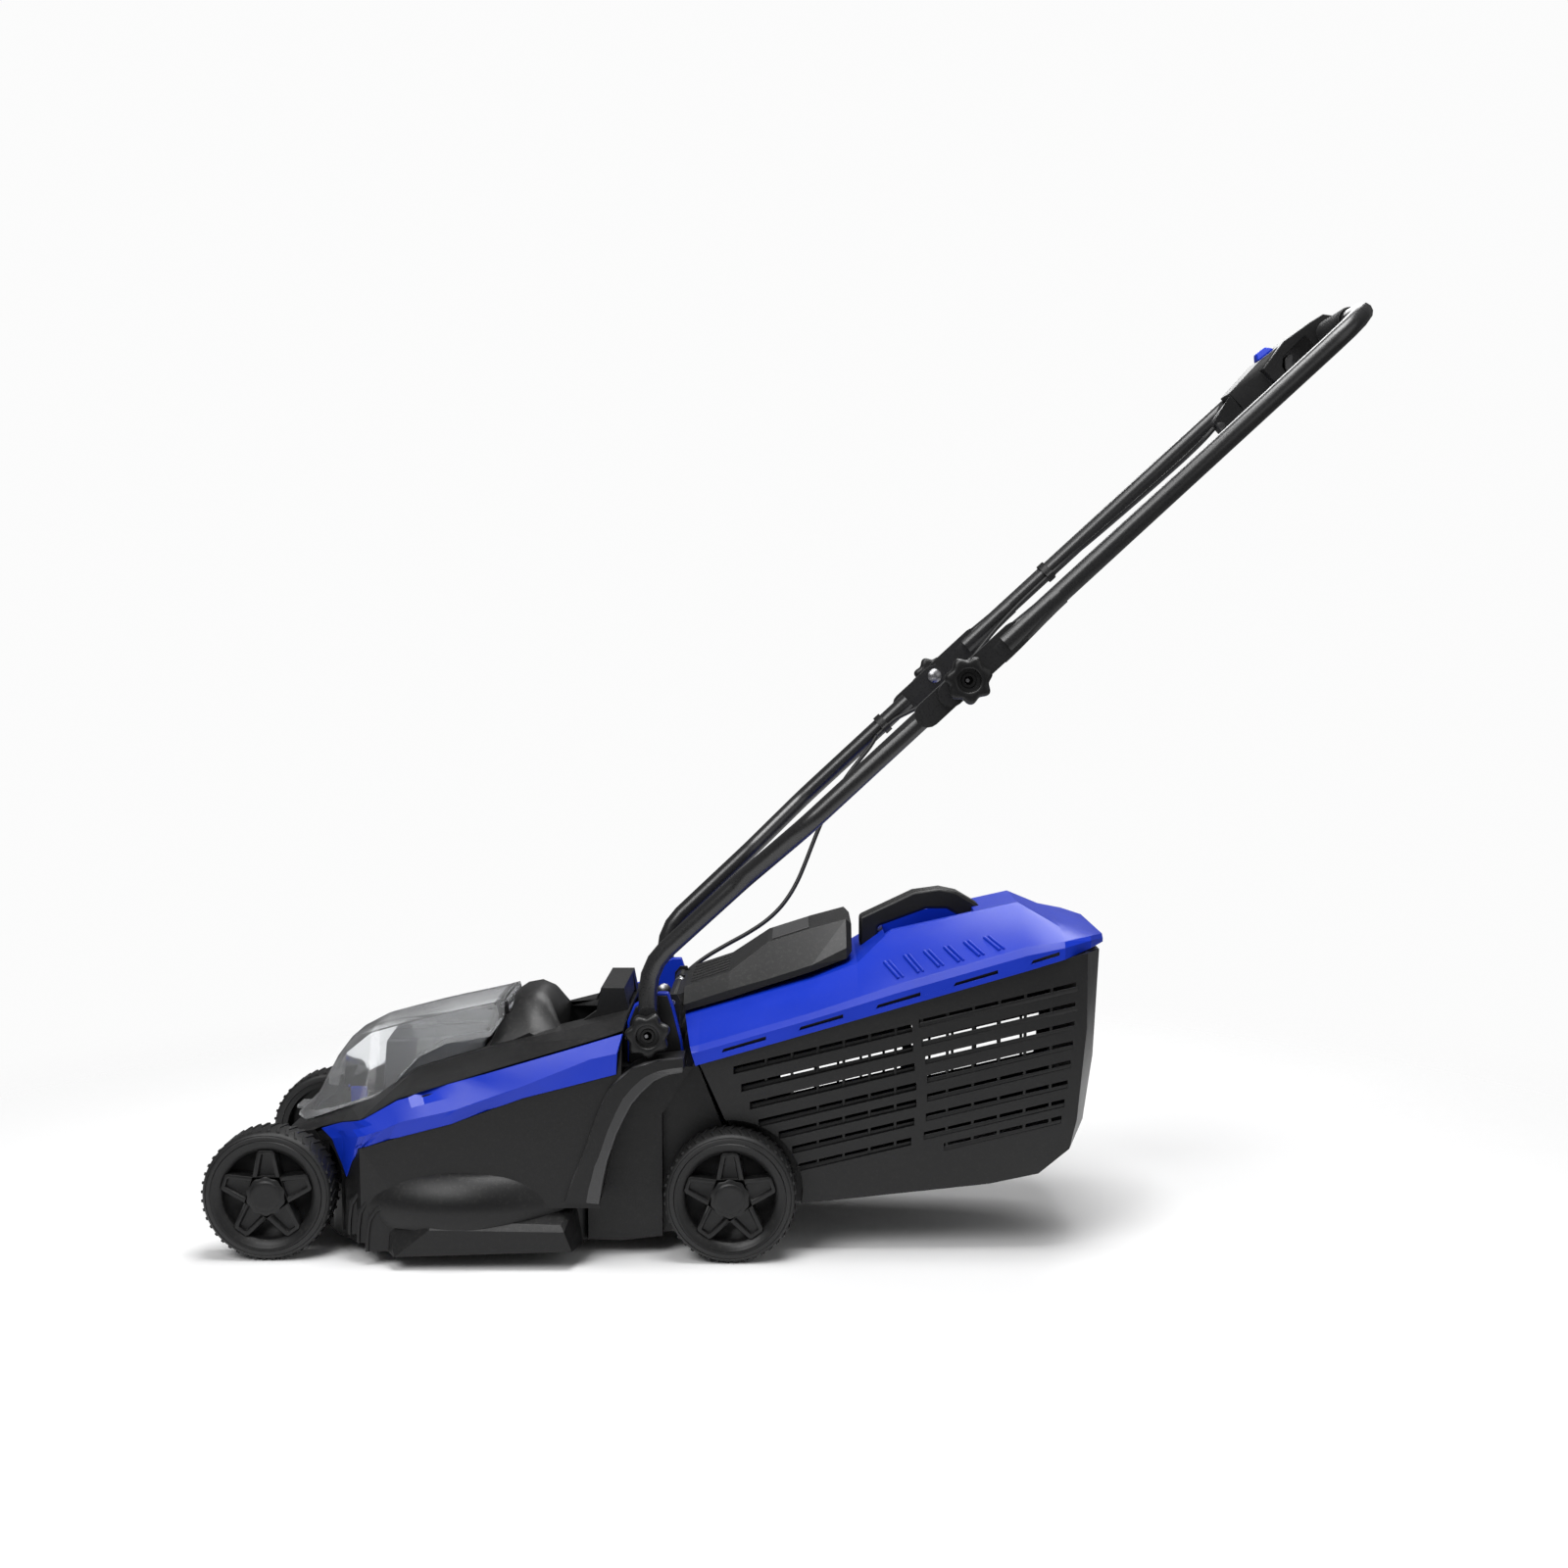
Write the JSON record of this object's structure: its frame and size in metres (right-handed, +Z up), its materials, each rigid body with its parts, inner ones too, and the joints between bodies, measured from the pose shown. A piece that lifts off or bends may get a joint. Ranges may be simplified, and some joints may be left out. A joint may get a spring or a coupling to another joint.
{
  "type": "push lawn mower",
  "caption": "Battery lawn mower with clear battery lid, rotary blade, four wheels, rear grass catcher with lifting flap and a folding two-part handle.",
  "frame": {"origin": "on the ground, under the middle of the machine", "axes": "+X to the rear, where the person walks; -Y is their left; +Z up"},
  "size_m": [1.201, 0.4816, 0.9889],
  "materials": {
    "deck_black": "fine moulded texture",
    "cover_black": "satin moulded",
    "band_blue": "satin moulded",
    "lid_clear": "clear moulded plastic",
    "tube_black": "black powder coat",
    "tyre_black": "moulded tread",
    "rim_black": "fine moulded texture",
    "bright_steel": "zinc plated",
    "blade_steel": "dark coated, ground edge",
    "motor_can": "plain",
    "soft_rubber": "soft touch",
    "battery_grey": "fine moulded texture",
    "basket_black": "fine moulded texture"
  },
  "bodies": {
    "deck": {"deck_shell": "deck_black", "top_cover": "cover_black", "side_band_left": "band_blue", "side_band_right": "band_blue", "battery_tray": "cover_black", "motor_housing": "motor_can", "controller_box": "battery_grey", "lead_gland": "soft_rubber", "lid_hinge_pin": "bright_steel", "flap_hinge_pin": "bright_steel", "flap_spring": "bright_steel", "handle_bracket_left": "band_blue", "handle_bracket_right": "band_blue", "lower_bolt_left": "bright_steel", "lower_bolt_right": "bright_steel", "lead_hanging": "soft_rubber"},
    "battery_left": {"battery_pack_left": "battery_grey"},
    "battery_right": {"battery_pack_right": "battery_grey"},
    "start_key": {"safety_key": "band_blue"},
    "lid": {"battery_lid": "lid_clear"},
    "flap": {"discharge_flap": "cover_black"},
    "catcher": {"catcher_basket": "basket_black", "catcher_lid": "band_blue", "catcher_handle": "cover_black"},
    "front_axle_set": {"front_axle": "bright_steel"},
    "rear_axle_set": {"rear_axle": "bright_steel"},
    "cutter": {"blade": "blade_steel", "blade_carrier": "rim_black", "motor_shaft": "bright_steel", "blade_bolt": "bright_steel"},
    "handle_lower": {"lower_tube_left": "tube_black", "lower_tube_right": "tube_black", "mid_bolt_left": "bright_steel", "mid_bolt_right": "bright_steel", "lead_lower": "soft_rubber", "lead_clip_lower": "cover_black"},
    "handle_upper": {"upper_handle": "tube_black", "switch_housing": "cover_black", "grip_left": "soft_rubber", "grip_right": "soft_rubber", "lead_upper": "soft_rubber", "lead_clip_upper": "cover_black"},
    "lever": {"start_lever": "cover_black"},
    "button": {"lock_button": "band_blue"},
    "front_wheel_left": {"front_wheel_left_tyre": "tyre_black", "front_wheel_left_rim": "rim_black", "front_wheel_left_hub_cap": "rim_black"},
    "front_wheel_right": {"front_wheel_right_tyre": "tyre_black", "front_wheel_right_rim": "rim_black", "front_wheel_right_hub_cap": "rim_black"},
    "rear_wheel_left": {"rear_wheel_left_tyre": "tyre_black", "rear_wheel_left_rim": "rim_black", "rear_wheel_left_hub_cap": "rim_black"},
    "rear_wheel_right": {"rear_wheel_right_tyre": "tyre_black", "rear_wheel_right_rim": "rim_black", "rear_wheel_right_hub_cap": "rim_black"},
    "deck_knob_left": {"lower_knob_left": "rim_black"},
    "mid_knob_left": {"mid_knob_left": "rim_black"},
    "deck_knob_right": {"lower_knob_right": "rim_black"},
    "mid_knob_right": {"mid_knob_right": "rim_black"}
  },
  "joints": [
    {"name": "battery_lid_hinge", "type": "hinge", "parent": "deck", "child": "lid", "pos_m": [-0.299, 0, 0.25], "axis": [0, 1, 0], "range_deg": [0, 80]},
    {"name": "flap_hinge", "type": "hinge", "parent": "deck", "child": "flap", "pos_m": [-0.113, 0, 0.26], "axis": [0, -1, 0], "range_deg": [0, 60], "stiffness_Nm_per_rad": 0.5, "springref_deg": -22.92},
    {"name": "catcher_unhook", "type": "slide", "parent": "deck", "child": "catcher", "axis": [1, 0, 0], "range_m": [0, 0.15]},
    {"name": "front_height", "type": "slide", "parent": "deck", "child": "front_axle_set", "axis": [0, 0, 1], "range_m": [-0.03, 0]},
    {"name": "rear_height", "type": "slide", "parent": "deck", "child": "rear_axle_set", "axis": [0, 0, 1], "range_m": [-0.03, 0]},
    {"name": "blade_spin", "type": "hinge", "parent": "deck", "child": "cutter", "pos_m": [-0.327, 0, 0.028], "axis": [0, 0, 1], "continuous": true},
    {"name": "handle_fold_lower", "type": "hinge", "parent": "deck", "child": "handle_lower", "pos_m": [-0.136, 0, 0.237], "axis": [0, -1, 0], "range_deg": [0, 52]},
    {"name": "handle_fold_upper", "type": "hinge", "parent": "handle_lower", "child": "handle_upper", "pos_m": [0.185, 0, 0.604], "axis": [0, 1, 0], "range_deg": [-155, 0]},
    {"name": "start_lever_squeeze", "type": "hinge", "parent": "handle_upper", "child": "lever", "pos_m": [0.54685, 0, 0.92703], "axis": [0, 1, 0], "range_deg": [0, 18], "stiffness_Nm_per_rad": 0.2, "springref_deg": -17.19},
    {"name": "lock_button_press", "type": "slide", "parent": "handle_upper", "child": "button", "axis": [0.6782, 0, -0.7349], "range_m": [0, 0.0035], "stiffness_N_per_m": 300, "springref_m": -0.004},
    {"name": "battery_left_lift", "type": "slide", "parent": "deck", "child": "battery_left", "axis": [0, 0, 1], "range_m": [0, 0.01]},
    {"name": "battery_right_lift", "type": "slide", "parent": "deck", "child": "battery_right", "axis": [0, 0, 1], "range_m": [0, 0.01]},
    {"name": "start_key_pull", "type": "slide", "parent": "deck", "child": "start_key", "axis": [0, 0, 1], "range_m": [0, 0.02]},
    {"name": "front_wheel_left_spin", "type": "hinge", "parent": "front_axle_set", "child": "front_wheel_left", "pos_m": [-0.532, -0.136, 0.0685], "axis": [0, 1, 0], "continuous": true},
    {"name": "front_wheel_right_spin", "type": "hinge", "parent": "front_axle_set", "child": "front_wheel_right", "pos_m": [-0.532, 0.136, 0.0685], "axis": [0, 1, 0], "continuous": true},
    {"name": "rear_wheel_left_spin", "type": "hinge", "parent": "rear_axle_set", "child": "rear_wheel_left", "pos_m": [-0.05, -0.143, 0.0685], "axis": [0, 1, 0], "continuous": true},
    {"name": "rear_wheel_right_spin", "type": "hinge", "parent": "rear_axle_set", "child": "rear_wheel_right", "pos_m": [-0.05, 0.143, 0.0685], "axis": [0, 1, 0], "continuous": true},
    {"name": "deck_knob_left_turn", "type": "hinge", "parent": "deck", "child": "deck_knob_left", "pos_m": [-0.136, -0.15, 0.237], "axis": [0, -1, 0], "continuous": true},
    {"name": "mid_knob_left_turn", "type": "hinge", "parent": "handle_lower", "child": "mid_knob_left", "pos_m": [0.185, -0.23, 0.604], "axis": [0, -1, 0], "continuous": true},
    {"name": "deck_knob_right_turn", "type": "hinge", "parent": "deck", "child": "deck_knob_right", "pos_m": [-0.136, 0.15, 0.237], "axis": [0, 1, 0], "continuous": true},
    {"name": "mid_knob_right_turn", "type": "hinge", "parent": "handle_lower", "child": "mid_knob_right", "pos_m": [0.185, 0.23, 0.604], "axis": [0, 1, 0], "continuous": true}
  ]
}
